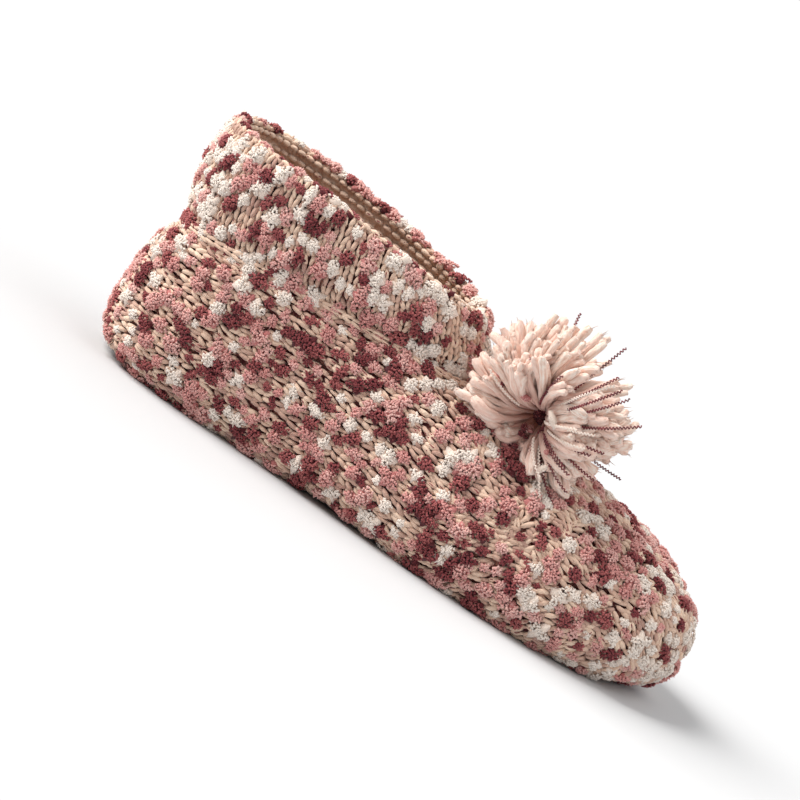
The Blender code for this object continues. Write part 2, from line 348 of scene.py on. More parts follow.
def strandPiece(name, paths, radii, tones, sides, material):  # paths in millimetres, one radius a point
    counts = [len(path) for path in paths]
    edges = []
    first = 0
    for count in counts:
        edges += [(at, at + 1) for at in range(first, first + count - 1)]
        first += count
    made = meshObject(name, toFrame(np.concatenate(paths)), [], [
        ("thickness", "FLOAT", np.concatenate(radii) * mm),
        ("lengthwise", "FLOAT", np.concatenate([np.linspace(0, 1, count) for count in counts])),
        ("yarnTone", "FLOAT", np.repeat(tones, counts)),
    ], edges)
    return runTree(made, thicken, {"Sides": sides, "Finish": material})


def shapeSet(name, parts):  # a collection of small shapes, in the order given
    group = bpy.data.collections.new(name)
    scene.collection.children.link(group)
    for number, (points, faces, ply) in enumerate(parts):
        made = meshObject(f"{name}_{number:02d}", points, faces, [("ply", "FLOAT_VECTOR", ply)])
        made.data.shade_smooth()
        scene.collection.objects.unlink(made)
        group.objects.link(made)
    return group


def dropShapes(group):
    for made in list(group.objects):
        bpy.data.objects.remove(made)
    bpy.data.collections.remove(group)


def scatterPiece(name, group, material, spots):  # spots hold each shape's place, ways, size, number and tone
    points = meshObject(name, toFrame(spots["place"]), [], [
        ("alongWay", "FLOAT_VECTOR", spots["along"]),
        ("outward", "FLOAT_VECTOR", spots["outward"]),
        ("shapeSize", "FLOAT_VECTOR", spots["size"]),
        ("shapeNumber", "INT", spots["number"]),
        ("yarnTone", "FLOAT", spots["tone"]),
    ])
    return runTree(points, scatter, {"Shapes": group, "Size": mm, "Finish": material})


def bakePiece(made, material):  # the modifiers' result as a plain mesh, no lower than the floor
    graph = bpy.context.evaluated_depsgraph_get()
    baked = bpy.data.meshes.new_from_object(made.evaluated_get(graph))
    old = made.data
    made.modifiers.clear()
    made.data = baked
    bpy.data.meshes.remove(old)
    baked.name = made.name
    places = np.empty(len(baked.vertices) * 3, np.float32)
    baked.vertices.foreach_get("co", places)
    places = places.reshape(-1, 3)
    places[:, 2] = np.maximum(places[:, 2], floorGap)
    baked.vertices.foreach_set("co", places.ravel())
    baked.materials.clear()
    baked.materials.append(material)
    baked.shade_smooth()
    baked.update()
    print(made.name, sum(len(p.vertices) - 2 for p in baked.polygons), "triangles")
    return made


def settle(piece, node):
    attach(piece, "root")
    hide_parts(node)


# Materials
def srgb(red, green, blue):  # a colour read as 0 to 255
    return tuple(((value / 255 + 0.055) / 1.055) ** 2.4 for value in (red, green, blue)) + (1.0,)


class finish:  # a material and short ways to add its nodes
    def __init__(self, name, roughness, sheen):
        self.material = bpy.data.materials.new(name)
        self.material.use_nodes = True
        self.nodes, self.link = self.material.node_tree.nodes, self.material.node_tree.links.new
        self.shader = self.nodes["Principled BSDF"]
        self.shader.inputs["Roughness"].default_value = roughness
        self.shader.inputs["Specular IOR Level"].default_value = 0.2
        self.shader.inputs["Sheen Weight"].default_value = sheen
        self.shader.inputs["Sheen Roughness"].default_value = 0.5
        self.coordinates = self.nodes.new("ShaderNodeTexCoord").outputs["Object"]

    def attribute(self, label, output="Fac"):
        node = self.nodes.new("ShaderNodeAttribute")
        node.attribute_name = label
        return node.outputs[output]

    def split(self, label):  # the three parts of an attribute
        node = self.nodes.new("ShaderNodeSeparateXYZ")
        self.link(self.attribute(label, "Vector"), node.inputs[0])
        return node.outputs

    def noise(self, scale, detail, vector=None):
        node = self.nodes.new("ShaderNodeTexNoise")
        node.inputs["Scale"].default_value = scale
        node.inputs["Detail"].default_value = detail
        self.link(vector or self.coordinates, node.inputs["Vector"])
        return node.outputs["Fac"]

    def math(self, operation, first, second=0.0):
        node = self.nodes.new("ShaderNodeMath")
        node.operation = operation
        for socket, value in zip(node.inputs, (first, second)):
            if isinstance(value, (int, float)):
                socket.default_value = value
            else:
                self.link(value, socket)
        return node.outputs[0]

    def ramp(self, value, stops):  # stops: position and colour
        node = self.nodes.new("ShaderNodeValToRGB")
        while len(node.color_ramp.elements) < len(stops):
            node.color_ramp.elements.new(0.5)
        for element, (position, colour) in zip(node.color_ramp.elements, stops):
            element.position, element.color = position, colour
        self.link(value, node.inputs["Fac"])
        return node.outputs["Color"]

    def mix(self, share, first, second, blend="MIX"):
        node = self.nodes.new("ShaderNodeMix")
        node.data_type, node.blend_type = "RGBA", blend
        for socket, value in ((node.inputs[0], share), (node.inputs[6], first), (node.inputs[7], second)):
            if isinstance(value, (int, float, tuple)):
                socket.default_value = value
            else:
                self.link(value, socket)
        return node.outputs[2]

    def plyTwist(self, turns):  # a wave that winds round a strand of yarn, begun at any side
        across, upward, along = self.split("ply")
        swing = self.math("MULTIPLY", along, turns * 2 * math.pi)
        swing = self.math("ADD", swing, self.math("MULTIPLY", self.attribute("yarnTone"), 40.0))
        level = self.math("MULTIPLY", across, self.math("COSINE", swing))
        upright = self.math("MULTIPLY", upward, self.math("SINE", swing))
        return self.math("ADD", level, upright)

    def bump(self, height, distance, strength):
        node = self.nodes.new("ShaderNodeBump")
        node.inputs["Strength"].default_value = strength
        node.inputs["Distance"].default_value = distance
        self.link(height, node.inputs["Height"])
        self.link(node.outputs["Normal"], self.shader.inputs["Normal"])

    def colour(self, value):
        self.link(value, self.shader.inputs["Base Color"])


yarnColours = dict(
    cream=srgb(234, 200, 174), peach=srgb(212, 171, 147), dusk=srgb(172, 121, 106), fibre=srgb(250, 232, 214),
    burgundy=srgb(139, 63, 67), wine=srgb(92, 37, 42), rose=srgb(190, 112, 109),
    pink=srgb(226, 162, 155), blush=srgb(242, 198, 189), mauve=srgb(198, 122, 119),
    white=srgb(250, 237, 226), milk=srgb(246, 228, 214),
    strand=srgb(247, 225, 210), strandShade=srgb(231, 190, 171), strandLight=srgb(254, 243, 233),
    # strandRootShade is painted shade on the strands near their roots
    strandRootShade=srgb(188, 138, 123), strandPink=srgb(251, 209, 194),
    # hollow, with wine and dusk, paints the shade between the stitches on the knit's back
    hollow=srgb(110, 66, 62), inside=srgb(232, 200, 178),
)


def knitYarn(name):  # two-ply cream yarn with a fine burgundy binder
    made, c = finish(name, roughness=0.9, sheen=0.3), yarnColours
    tone = made.ramp(made.attribute("yarnTone"), [(0.0, c["cream"]), (0.55, c["peach"]), (1.0, c["dusk"])])
    wave = made.plyTwist(0.7)
    doubled = made.math("MULTIPLY", wave, wave)
    fibre = made.noise(scale=2600, detail=3)
    tone = made.mix(made.math("MULTIPLY", fibre, 0.35), tone, c["fibre"], "SCREEN")
    binder = made.math("GREATER_THAN", wave, 0.83)
    chance = made.math("GREATER_THAN", made.noise(scale=150, detail=1), 0.55)
    made.colour(made.mix(made.math("MULTIPLY", binder, chance), tone, c["burgundy"]))
    height = made.math("ADD", made.math("MULTIPLY", doubled, 0.5), fibre)
    made.bump(height, distance=0.35 * mm, strength=0.8)
    return made.material


def tuftYarn(name, shades, sheen):  # soft pile, with painted shade darkening it at its roots
    made = finish(name, roughness=1.0, sheen=sheen)
    dark, middle, light = (yarnColours[shade] for shade in shades)
    fibres = made.noise(scale=2200, detail=3)
    tone = made.math("MULTIPLY", made.attribute("yarnTone"), 0.45)
    # painted shade: low on the ply, at the tufts' roots and on the lumps, the pile takes the dark stop
    tone = made.math("ADD", tone, made.math("MULTIPLY", made.split("ply")[2], 0.35))
    tone = made.math("ADD", tone, made.math("MULTIPLY", fibres, 0.4))
    made.colour(made.ramp(tone, [(0.32, dark), (0.6, middle), (0.92, light)]))
    made.bump(fibres, distance=0.5 * mm, strength=1.0)
    return made.material


def shellYarn(name):  # the back of the knit: outside, between the stitches, painted shade over the burgundy yarn behind them; inside, the lining
    made, c = finish(name, roughness=1.0, sheen=0.1), yarnColours
    gapShade, loops = made.noise(scale=600, detail=3), made.noise(scale=420, detail=3)
    # painted shade: the wine, hollow and dusk ramp darkens the gaps between stitches, partly the real
    # burgundy yarn behind them
    gapShade = made.ramp(gapShade, [(0.35, c["wine"]), (0.5, c["hollow"]), (0.66, c["dusk"])])
    lining = made.ramp(loops, [(0.32, c["peach"]), (0.5, c["inside"]), (0.7, c["milk"])])
    made.colour(made.mix(made.attribute("inside"), gapShade, lining))
    made.bump(loops, distance=2 * mm, strength=0.9)
    return made.material


def rovingYarn(name):  # soft unspun strands with streaks of fibre, and painted shade darkening them towards the tied middle
    made, c = finish(name, roughness=0.95, sheen=0.35), yarnColours
    around = made.split("around")
    shift = made.math("MULTIPLY", made.attribute("yarnTone"), 90.0)  # no two strands have the same streaks
    join = made.nodes.new("ShaderNodeCombineXYZ")
    made.link(made.math("ADD", around[0], shift), join.inputs[0])
    made.link(around[1], join.inputs[1])
    made.link(made.math("MULTIPLY", made.attribute("lengthwise"), 5.0), join.inputs[2])
    streaks = made.noise(scale=1.7, detail=3, vector=join.outputs[0])
    fibres = made.noise(scale=5.0, detail=2, vector=join.outputs[0])
    tone = made.ramp(streaks, [(0.3, c["strandShade"]), (0.5, c["strand"]), (0.66, c["strandLight"])])
    tinge = made.math("FRACT", made.math("MULTIPLY", made.attribute("yarnTone"), 7.0))
    tone = made.mix(made.math("MULTIPLY", tinge, 0.6), tone, c["strandPink"])
    # painted shade: strands darken towards their roots, where they crowd round the tied middle
    rootShade = made.ramp(made.attribute("lengthwise"), [(0.0, c["strandRootShade"]), (0.65, (1.0, 1.0, 1.0, 1.0))])
    made.colour(made.mix(1.0, tone, rootShade, "MULTIPLY"))
    height = made.math("ADD", streaks, made.math("MULTIPLY", fibres, 0.6))
    made.bump(height, distance=0.8 * mm, strength=0.8)
    return made.material


def threadYarn(name, dark, light):  # thin crimped threads
    made, c = finish(name, roughness=0.7, sheen=0.2), yarnColours
    made.colour(made.ramp(made.noise(scale=800, detail=2), [(0.4, c[dark]), (0.65, c[light])]))
    return made.material


yarns = dict(
    strand=rovingYarn("pompom roving"),
    wineThread=threadYarn("burgundy thread", "wine", "burgundy"),
    creamThread=threadYarn("cream thread", "milk", "white"),
    foot=knitYarn("knit yarn"),
    # each slub yarn's first shade is the painted shade at its tufts' roots
    burgundy=tuftYarn("burgundy slub", ("wine", "burgundy", "rose"), 0.15),
    pink=tuftYarn("pink slub", ("mauve", "pink", "blush"), 0.3),
    white=tuftYarn("white slub", ("milk", "white", "white"), 0.4),
    shell=shellYarn("knit back"),
)
print("materials ready")


# Wales of the foot: lines of stitches from the heel's back seam to the toe
footKnit = dict(
    wale=4.1, course=3.9, girthFrom=140.0, girthTo=200.0, toeEnd=244.4, topMargin=0.16, backMargin=0.02,
    heelStart=6.0, heelZone=40.0, heelEdgeLevel=1.5, spareWales=3, lowerSpread=0.2, lowerClimb=12.0,
    mitreLap=0.3, hemLevel=0.3, hemDepth=0.4, depth=1.05, shellDepth=1.6, shellWall=1.2, seed=11,
    widestGap=0.6, endMargin=0.3, lookAhead=0.8, drift=0.6, driftNoise=0.3, turnNoise=0.16, sizeNoise=0.11,
)


def sectionAt(x):  # half a cross-section, from the sole's middle up: places, ways out, levels and lengths
    grid = np.linspace(0, seamLevel, 361)
    numbers = ringNumbers(grid)
    reach = (numbers[:, 0] < x) & (numbers[:, 2] > x)
    levels = grid[reach]
    margin = 0.02  # just past the last rings that reach this far
    if levels[0] > 0:
        levels = np.insert(levels, 0, levels[0] - margin)
    if levels[-1] < seamLevel:
        levels = np.append(levels, levels[-1] + margin)
    angles = angleAt(levels, x)
    places, outward = surface(levels, np.maximum(angles, 1e-4))
    places[:, 0] = x
    if levels[0] == 0:  # the flat middle of the sole
        steps = 9
        across = np.linspace(0, places[0, 1], steps, endpoint=False)
        lift = soleLift(np.full(steps, x), np.zeros(steps))
        flat = np.stack([np.full(steps, x), across, lift], axis=1)
        places = np.concatenate([flat, places])
        outward = np.concatenate([np.tile((0.0, 0.0, -1.0), (steps, 1)), outward])
        levels = np.concatenate([np.linspace(-1, 0, steps, endpoint=False), levels])
    return places, outward, levels, lengthTo(places)


def readSection(section, at):  # the section at given lengths, empty where it doesn't reach
    places, outward, levels, length = section
    columns = np.concatenate([places, outward, levels[:, None]], axis=1)
    read = np.stack([np.interp(at, length, column) for column in columns.T], axis=1)
    read[(at < 0) | (at > length[-1])] = np.nan
    return read


def footWales():  # each line's places, ways out and levels, and the wales' pitch and widest place
    k = footKnit
    girthAt = {x: sectionAt(x)[3][-1] for x in np.arange(k["girthFrom"], k["girthTo"], 2.0)}
    turnX = max(girthAt, key=girthAt.get)  # from here to the toe the girth shrinks
    girth = girthAt[turnX]
    count = round(girth / k["wale"])
    pitch = girth / count
    at = (np.arange(-k["spareWales"], count) + 0.5) * pitch  # the spare ones start under the toe
    middle = np.arange(k["heelZone"], turnX, 1.5)
    toe = turnX + (k["toeEnd"] - turnX) * np.sin(np.linspace(0, math.pi / 2, 120))
    rear = np.stack([readSection(sectionAt(x), at) for x in middle], axis=1)
    climb = (toe - turnX) / (k["toeEnd"] - turnX)
    spread, shift = 1 + k["lowerSpread"] * climb, k["lowerClimb"] * climb
    low = [readSection(sectionAt(x), at * more + rise) for x, more, rise in zip(toe, spread, shift)]
    low = np.stack(low, axis=1)
    high = []
    for x in toe:
        section = sectionAt(x)
        high.append(readSection(section, section[3][-1] - (girth - at)))
    high = np.stack(high, axis=1)
    under = np.arange(k["heelStart"], k["heelZone"], 1.0)
    heel = np.stack([readSection(sectionAt(x), at) for x in under], axis=1)
    lines = []
    for wale in range(len(at)):
        upper = low[wale, 0, 6] > mitreAt(turnX)
        front = (high if upper else low)[wale]
        meeting = mitreAt(front[:, 0])
        past = (front[:, 6] < meeting - k["mitreLap"]) if upper else (front[:, 6] > meeting + k["mitreLap"])
        stop = np.argmax(past) if past.any() else len(front)
        line = np.concatenate([rear[wale], front[1:stop]])
        level = rear[wale, 0, 6]
        if level > k["heelEdgeLevel"]:  # round the heel to its back seam
            angles = np.linspace(math.pi - k["backMargin"], angleAt(np.array(level), k["heelZone"]), 60)[:-1]
            level = np.full(len(angles), level)
            places, outward = surface(level, angles)
            line = np.concatenate([np.column_stack([places, outward, level]), line])
        else:  # straight back under the heel
            kept = heel[wale][heel[wale, :, 6] <= k["heelEdgeLevel"]]
            line = np.concatenate([kept, line])
        lines.append(line)
        if not upper:  # a wale of the upper that starts at the mitre
            lines.append(high[wale][high[wale, :, 6] > mitreAt(high[wale, :, 0]) - k["mitreLap"]])
    angles = np.linspace(math.pi - k["backMargin"], k["backMargin"], 120)  # one more wale along the seam
    level = np.full(len(angles), seamLevel - k["hemLevel"])
    places, outward = surface(level, angles, -k["hemDepth"])
    lines.append(np.column_stack([places, outward, level]))
    lines = [line[line[:, 6] <= seamLevel - k["topMargin"]] for line in lines]
    lines = [line for line in lines if len(line) > 3]
    return lines, pitch, turnX


def stitchSpots():  # one spot for each stitch of the foot, both sides
    k = footKnit
    rng = np.random.default_rng(k["seed"])
    lines, pitch, turnX = footWales()
    rows = []
    for line in lines:
        length = lengthTo(line[:, :3])
        reference = np.interp(turnX, line[:, 0], length) if line[-1, 0] > turnX else 0
        phase = reference % k["course"]
        at = np.arange(phase, length[-1], k["course"])
        if length[-1] - at[-1] > k["course"] * k["widestGap"]:  # no hole where a wale ends
            at = np.append(at, length[-1] - k["endMargin"])
        read = np.stack([np.interp(at, length, column) for column in line.T], axis=1)
        ahead = np.stack([np.interp(at + k["lookAhead"], length, column) for column in line.T[:3]], axis=1)
        behind = np.stack([np.interp(at - k["lookAhead"], length, column) for column in line.T[:3]], axis=1)
        rows.append(np.concatenate([read, ahead - behind], axis=1))
    rows = np.concatenate(rows)
    both = np.concatenate([rows, rows * (1, -1, 1, 1, -1, 1, 1, 1, -1, 1)])
    place, outward, level, along = both[:, :3], unit(both[:, 3:6]), both[:, 6], unit(both[:, 7:10])
    place = place + outward * (relief(place, level) - k["depth"])[:, None]
    amount = len(both)
    x, y, z = place.T
    across = np.cross(along, outward)
    sway = np.column_stack([
        np.sin(0.23 * x + 0.31 * z + 0.2 * y),
        np.sin(0.29 * z - 0.17 * x + 0.3 * y + 2),
    ])
    sway = (sway + rng.normal(0, k["driftNoise"], (amount, 2))) * k["drift"]  # slubs push the wales about
    place = place + along * sway[:, :1] + across * sway[:, 1:]
    along = unit(along + across * rng.normal(0, k["turnNoise"], (amount, 1)))
    size = np.ones((amount, 3)) * (pitch / k["wale"], 1, 1)
    size *= 1 + rng.normal(0, k["sizeNoise"], (amount, 3))
    return dict(
        place=place, along=along, outward=outward, size=size, level=level,
        number=rng.integers(0, 3, amount), tone=rng.random(amount),
    )


stitchShape = dict(
    sides=5, low=0.36, high=1.62, start=-1.4, end=5.3,
    wide=0.96, thick=0.95, rise=(-0.1, 0.6, 0.75, 0.15, -0.95), bend=(0.0, 0.22, -0.2),
)


def stitchParts(shape):  # a V of two legs, in a few slightly bent kinds
    parts = []
    share = np.linspace(0, 1, len(shape["rise"]))
    for bend in shape["bend"]:
        across = shape["low"] + (shape["high"] - shape["low"]) * share**0.9 + bend * np.sin(math.pi * share)
        along = shape["start"] + (shape["end"] - shape["start"]) * share
        path = np.column_stack([across, along, shape["rise"]])
        full = np.sin(math.pi * np.clip(share * 0.92 + 0.04, 0, 1)) ** 0.6
        leg = sweepTube(path, shape["wide"] * full, shape["thick"] * full, shape["sides"])
        parts.append(joinParts([leg, mirrorPart(leg)]))
    return parts


def takeSpots(spots, chosen):
    return {label: values[chosen] for label, values in spots.items()}


footSpots = stitchSpots()
footStitches = shapeSet("footStitch", stitchParts(stitchShape))
nearSide = footSpots["place"][:, 1] < 0
underSole = footSpots["level"] < 1.0
footSides = dict(near=nearSide & ~underSole, far=~nearSide & ~underSole, sole=underSole)
for label, chosen in footSides.items():
    stitches = takeSpots(footSpots, chosen)
    settle(scatterPiece(f"foot_stitches_{label}", footStitches, yarns["foot"], stitches), "knitted_foot")
dropShapes(footStitches)
print("foot stitches", len(footSpots["tone"]))


# The backs of the knit: a thin wall under the stitches, painted dark outside as the shade between them
ringAngles = np.arange(96) * 2 * math.pi / 96


def shellPiece(name, levels, knit, closedBelow):  # closed over the sole, or open at both ends
    outer, outward = surface(levels[:, None], ringAngles)
    depth = relief(outer, np.broadcast_to(levels[:, None], outer.shape[:2])) - knit["shellDepth"]
    outer = outer + outward * depth[..., None]
    inner = outer - outward * knit["shellWall"]
    rows, columns = outer.shape[:2]
    loop = np.concatenate([outer, inner[::-1]])  # up the outside, down the inside
    faces = bandFaces(len(loop), columns, not closedBelow)
    if closedBelow:
        faces.append(tuple(range(columns))[::-1])
        faces.append(tuple(range((len(loop) - 1) * columns, len(loop) * columns)))
    inside = np.repeat((0.0, 1.0), rows * columns)
    made = meshObject(name, toFrame(loop.reshape(-1, 3)), faces, [("inside", "FLOAT", inside)])
    return bakePiece(made, yarns["shell"])


footShell = shellPiece("foot_back", np.linspace(0.02, seamLevel - 0.03, 34), footKnit, True)
settle(footShell, "knitted_foot")


# The cuff: wales across the band, wider and shorter stitches
cuffKnit = dict(
    wale=4.5, rows=10, depth=1.15, shellDepth=2.0, shellWall=1.2, seed=23, start=0.06, lookAhead=0.1,
    turnNoise=0.08, sizeNoise=0.05,
)
cuffShape = dict(  # wale and course are the sizes that the legs are drawn for
    sides=5, low=0.36, high=1.85, start=-1.0, end=4.2, wale=4.5, course=3.1,
    wide=1.0, thick=0.95, rise=(0.1, 0.65, 0.8, 0.2, -0.85), bend=(0.0, 0.2, -0.16),
)


def ringLength(level):  # angles round a ring and how far along it each is
    angles = np.linspace(0, 2 * math.pi, 721)
    return angles, lengthTo(surface(np.full(len(angles), level), angles)[0])


def ringCount(level, pitch):  # how many wales a ring has
    return round(ringLength(level)[1][-1] / pitch)


def ringWales(level, count):  # angles that share a ring's length evenly
    angles, length = ringLength(level)
    return np.interp((np.arange(count) + 0.5) / count * length[-1], length, angles)


def waleGrid(levels, count):  # the wales' angles on several rings
    return np.stack([ringWales(level, count) for level in levels])


def cuffSpots():  # one spot for each stitch of the cuff
    k = cuffKnit
    rng = np.random.default_rng(k["seed"])
    count = ringCount(seamLevel, k["wale"])
    levels = seamLevel + k["start"] + (rimLevel - seamLevel - k["start"]) * np.arange(k["rows"]) / k["rows"]
    later = levels + k["lookAhead"]
    place, outward = surface(levels[:, None], waleGrid(levels, count), -k["depth"])
    ahead = surface(later[:, None], waleGrid(later, count), -k["depth"])[0]
    along = ahead - place
    course = np.linalg.norm(along, axis=-1) / k["lookAhead"] * (rimLevel - seamLevel) / k["rows"]
    pitch = np.linalg.norm(np.roll(place, -1, axis=1) - place, axis=-1)
    size = np.stack([pitch / cuffShape["wale"], course / cuffShape["course"], np.ones_like(pitch)], axis=-1)
    level = np.broadcast_to(levels[:, None], pitch.shape)
    place = place + outward * relief(place, level)[..., None]
    amount = pitch.size
    size = size.reshape(-1, 3) * (1 + rng.normal(0, k["sizeNoise"], (amount, 3)))
    along, outward = unit(along.reshape(-1, 3)), outward.reshape(-1, 3)
    along = unit(along + np.cross(along, outward) * rng.normal(0, k["turnNoise"], (amount, 1)))
    return dict(
        place=place.reshape(-1, 3), along=along, outward=outward, size=size, level=level.ravel(),
        number=rng.integers(0, 3, amount), tone=rng.random(amount),
    )


bandSpots = cuffSpots()
cuffStitches = shapeSet("cuffStitch", stitchParts(cuffShape))
settle(scatterPiece("cuff_stitches", cuffStitches, yarns["foot"], bandSpots), "knitted_cuff")
dropShapes(cuffStitches)
cuffShell = shellPiece("cuff_back", np.linspace(seamLevel - 0.1, rimLevel - 0.1, 16), cuffKnit, False)
settle(cuffShell, "knitted_cuff")

chainMake = dict(lookBack=0.15, sizeNoise=0.06, darkest=0.6)
edgeChains = dict(  # chains lying along the rim and the pick-up seam
    rim=dict(level=rimLevel, pitch=4.1, depth=1.9, stretch=(0.9, 1.0, 1.1), upright=True, seed=31),
    seam=dict(level=seamLevel, pitch=4.1, depth=0.75, stretch=(0.8, 1.0, 0.8), upright=False, seed=37),
)


def chainSpots(k):  # one spot for each stitch of a chain
    rng = np.random.default_rng(k["seed"])
    count = ringCount(k["level"], k["pitch"])
    angles = ringWales(k["level"], count)
    level = np.full(count, k["level"])
    place, outward = surface(level, angles, -k["depth"])
    upward = unit(place - surface(level - chainMake["lookBack"], angles, -k["depth"])[0])
    along = unit(np.roll(place, -1, axis=0) - np.roll(place, 1, axis=0))
    return dict(
        place=place, along=along, outward=upward if k["upright"] else outward, level=level,
        size=np.array(k["stretch"]) * (1 + rng.normal(0, chainMake["sizeNoise"], (count, 3))),
        number=rng.integers(0, 3, count), tone=rng.random(count) * chainMake["darkest"],
    )


chainStitches = shapeSet("chainStitch", stitchParts(stitchShape))
chains = {label: chainSpots(k) for label, k in edgeChains.items()}
for label, spots in chains.items():
    settle(scatterPiece(f"cuff_{label}_chain", chainStitches, yarns["foot"], spots), "knitted_cuff")
dropShapes(chainStitches)

insideLoops = dict(
    start=0.1, reach=2.75, depth=3.9, half=2.2, arch=0.8, rise=0.5, thick=1.0, sides=5, seed=41,
    sizeNoise=0.08, darkest=0.5,
)


def loopParts():  # the bump that a stitch shows on its back
    k = insideLoops
    share = np.linspace(-1, 1, 5)
    path = np.column_stack([share * 0, share * k["half"], k["rise"] - k["arch"] * share**2])
    full = np.sqrt(np.clip(1.05 - share**2, 0, 1))
    return [sweepTube(path, k["thick"] * full, k["thick"] * full, k["sides"])]


def loopSpots():  # rows of loops inside the cuff
    k, rows = insideLoops, cuffKnit["rows"]
    rng = np.random.default_rng(k["seed"])
    count = ringCount(seamLevel, cuffKnit["wale"])
    levels = seamLevel + k["start"] + k["reach"] * np.arange(rows) / (rows - 1)
    offset = np.arange(rows) % 2 * math.pi / count  # every other row lies between the wales
    angles = waleGrid(levels, count) + offset[:, None]
    place, outward = surface(levels[:, None], angles, -k["depth"])
    along = np.roll(place, -1, axis=1) - np.roll(place, 1, axis=1)
    amount = angles.size
    return dict(
        place=place.reshape(-1, 3), along=unit(along.reshape(-1, 3)), outward=-outward.reshape(-1, 3),
        size=1 + rng.normal(0, k["sizeNoise"], (amount, 3)), tone=rng.random(amount) * k["darkest"],
        number=np.zeros(amount, int),
    )


loopShapes = shapeSet("insideLoop", loopParts())
settle(scatterPiece("cuff_inside_loops", loopShapes, yarns["foot"], loopSpots()), "knitted_cuff")
dropShapes(loopShapes)
print("cuff knitted")


# Slubs: soft clumps of short pile along the yarn, in three colours
goldenTurn = 2.4  # each tuft stands this far round from the last, in radians
slubs = dict(
    spacing=3.95, keep=0.88, soleKeep=0.3, soleLevel=0.8, swing=0.7, lift=0.7,
    pileWidth=0.6, pileLength=0.85, pileBelly=0.15, kinds=4, roughen=0.16, lean=0.28, turnNoise=0.3,
    tufts=(19, 55), length=(1.6, 4.0), width=(1.4, 2.9), height=(0.9, 2.2), stretch=(0.75, 1.5),
    dyeNoise=2.4, toeTint=1.9, toeFrom=175.0, toeFade=40.0, heelTint=0.9, heelTo=50.0, heelFade=35.0,
    seeds=dict(shapes=47, foot=47, cuff=53, rim=59), sizes=dict(foot=1.0, cuff=1.1, rim=1.0, pompom=0.42),
    shares=dict(  # of burgundy, pink and white
        foot=(0.32, 0.4, 0.28), cuff=(0.19, 0.3, 0.51), rim=(0.3, 0.42, 0.28), pompom=(0.45, 0.4, 0.15),
    ),
    scales=dict(burgundy=0.98, pink=1.04, white=0.88), lumps=dict(burgundy=0.85, pink=0.86, white=1.04),
    forms=dict(burgundy=(1.0, 1.0), pink=(1.0, 1.0), white=(1.35, 0.72)),  # a tuft's width and length
)


def ballPart(rng):  # a lump of twelve points
    golden = (1 + math.sqrt(5)) / 2
    corners = []
    for sign in (-1, 1):
        for side in (-golden, golden):
            corners += [(0, sign, side), (sign, side, 0), (side, 0, sign)]
    corners = unit(np.array(corners, float))
    near = 1.1  # corners of one edge are this close on the unit ball
    faces = []
    for a in range(12):
        for b in range(a + 1, 12):
            for c in range(b + 1, 12):
                trio = corners[[a, b, c]]
                if np.max(np.linalg.norm(trio - np.roll(trio, 1, axis=0), axis=1)) < near:
                    outwards = np.dot(np.cross(trio[1] - trio[0], trio[2] - trio[0]), trio[0]) > 0
                    faces.append((a, b, c) if outwards else (a, c, b))
    # a ply of zero gives the lump the slub yarn's painted root shade
    return corners * (1 + rng.normal(0, slubs["roughen"] / 2, (12, 1))), faces, np.zeros((12, 3))


def pileParts():  # pointed tufts of a few kinds, and last the lump that they stand on
    k = slubs
    rng = np.random.default_rng(k["seeds"]["shapes"])
    turn = np.arange(4) * math.pi / 2
    belt = np.column_stack([np.cos(turn), np.sin(turn), np.full(4, k["pileBelly"])])
    ends = np.array([(0, 0, 1), (0, 0, -1)])
    faces = []
    for side in range(4):
        beside = (side + 1) % 4
        faces += [(side, beside, 4), (beside, side, 5)]
    ply = np.zeros((6, 3))
    ply[:, 2] = (0.55, 0.55, 0.55, 0.55, 1, 0)  # from root to tip, which the slub yarns darken towards the root as painted shade
    parts = []
    for _ in range(k["kinds"]):
        points = np.concatenate([belt, ends]) * (k["pileWidth"], k["pileWidth"], k["pileLength"])
        parts.append((points * (1 + rng.normal(0, k["roughen"], (6, 3))), faces, ply))
    return parts + [ballPart(rng)]


def slubSpots(region, spots):  # stitches that carry a slub
    k = slubs
    rng = np.random.default_rng(k["seeds"][region])
    order = rng.permutation(len(spots["tone"]))
    tried = np.empty((0, 3))
    chosen = []
    for index in order:
        place = spots["place"][index]
        if len(tried) == 0 or np.min(np.sum((tried - place) ** 2, axis=1)) > k["spacing"] ** 2:
            tried = np.vstack([tried, place])
            if rng.random() < (k["keep"] if spots["level"][index] > k["soleLevel"] else k["soleKeep"]):
                chosen.append(index)
    picked = takeSpots(spots, np.array(chosen))
    swing = rng.normal(0, k["swing"], (len(chosen), 1))
    across = np.cross(picked["along"], picked["outward"])
    picked["along"] = unit(picked["along"] * np.cos(swing) + across * np.sin(swing))
    picked["place"] = picked["place"] + picked["outward"] * k["lift"]
    return picked, dyeRank(picked["place"], rng), rng


def dyeRank(place, rng):  # slubs in order of a slow wave, so that like colours lie together
    k = slubs
    x, y, z = place.T
    wave = np.sin(0.46 * x + 0.34 * z + 0.2 * y) + np.sin(0.41 * z - 0.39 * x + 0.3 * y + 1)
    wave = wave + rng.normal(0, k["dyeNoise"], len(place))
    wave = wave + k["toeTint"] * smoothStep((x - k["toeFrom"]) / k["toeFade"])  # paler at toe and heel
    wave = wave + k["heelTint"] * smoothStep((k["heelTo"] - x) / k["heelFade"])
    return np.argsort(np.argsort(wave)) / len(place)


